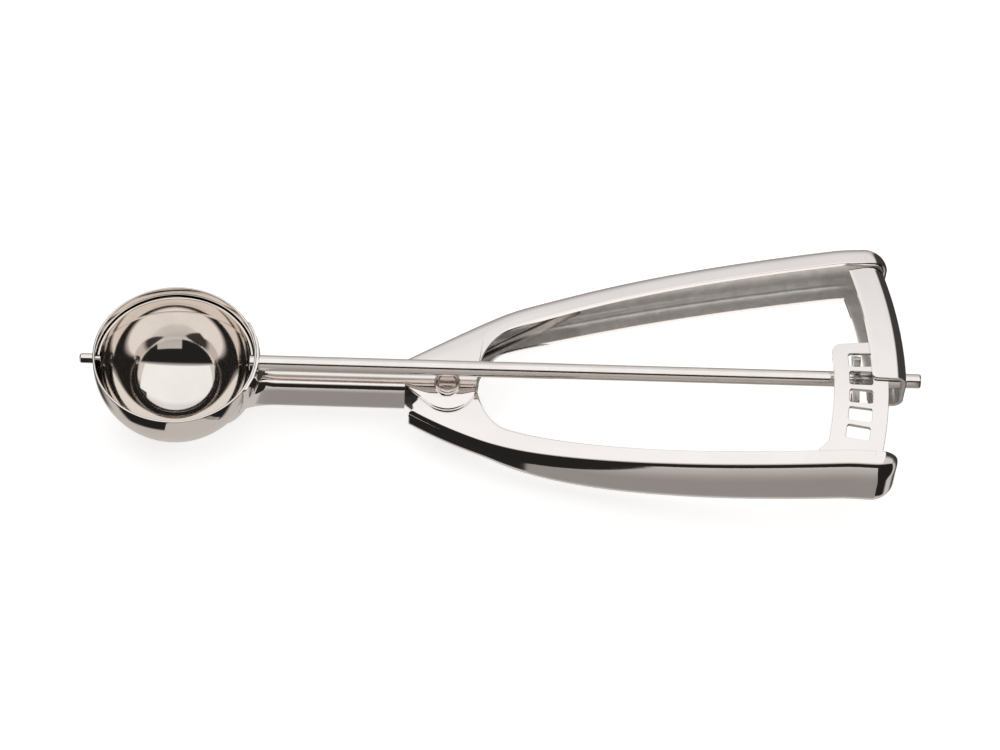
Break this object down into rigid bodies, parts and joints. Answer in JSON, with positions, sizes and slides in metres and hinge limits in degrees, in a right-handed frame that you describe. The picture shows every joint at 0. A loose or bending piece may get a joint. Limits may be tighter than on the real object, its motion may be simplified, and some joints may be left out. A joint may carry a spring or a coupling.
{
  "type": "lever ice cream scoop",
  "caption": "Squeeze-lever ice cream scoop: a small round bowl with a thin scraper band, turned by a long rod through a rack and pinion on a sprung pressed-steel handle.",
  "frame": {"origin": "centre of the bowl's ball, on the drive rod's axis", "axes": "+X runs along the drive rod from the bowl to the handle's end, +Y points to the fixed arm, +Z points out of the bowl's mouth"},
  "size_m": [0.2318, 0.0749, 0.0313],
  "materials": {
    "polished_steel": "mirror-polished stainless sheet with light handling marks",
    "ground_steel": "ground and polished stainless bar with fine turning marks",
    "spring_steel": "dull rolled stainless spring strip"
  },
  "bodies": {
    "frame": {"bowl": "polished_steel", "bowl_saddle": "polished_steel", "fixed_handle": "polished_steel", "end_strap": "polished_steel", "pivot_rivet": "polished_steel", "pivot_bush": "ground_steel", "spring_fixed_leg": "spring_steel"},
    "lever": {"squeeze_lever": "polished_steel", "rack_plate": "polished_steel", "spring_lever_leg": "spring_steel"},
    "rod": {"drive_rod": "ground_steel", "pinion_gear": "ground_steel", "scraper_blade": "polished_steel", "scraper_pin": "ground_steel"}
  },
  "joints": [
    {"name": "lever_squeeze", "type": "hinge", "parent": "frame", "child": "lever", "pos_m": [0.075, -0.002, 0], "axis": [0, 0, 1], "range_deg": [0, 8.25], "stiffness_Nm_per_rad": 1, "springref_deg": -57.3},
    {"name": "rod_spin", "type": "hinge", "parent": "frame", "child": "rod", "pos_m": [0, 0, 0], "axis": [-1, 0, 0], "range_deg": [0, 165]}
  ],
  "couplings": [
    {"joint": "rod_spin", "follows": "lever_squeeze", "ratio": 20}
  ]
}
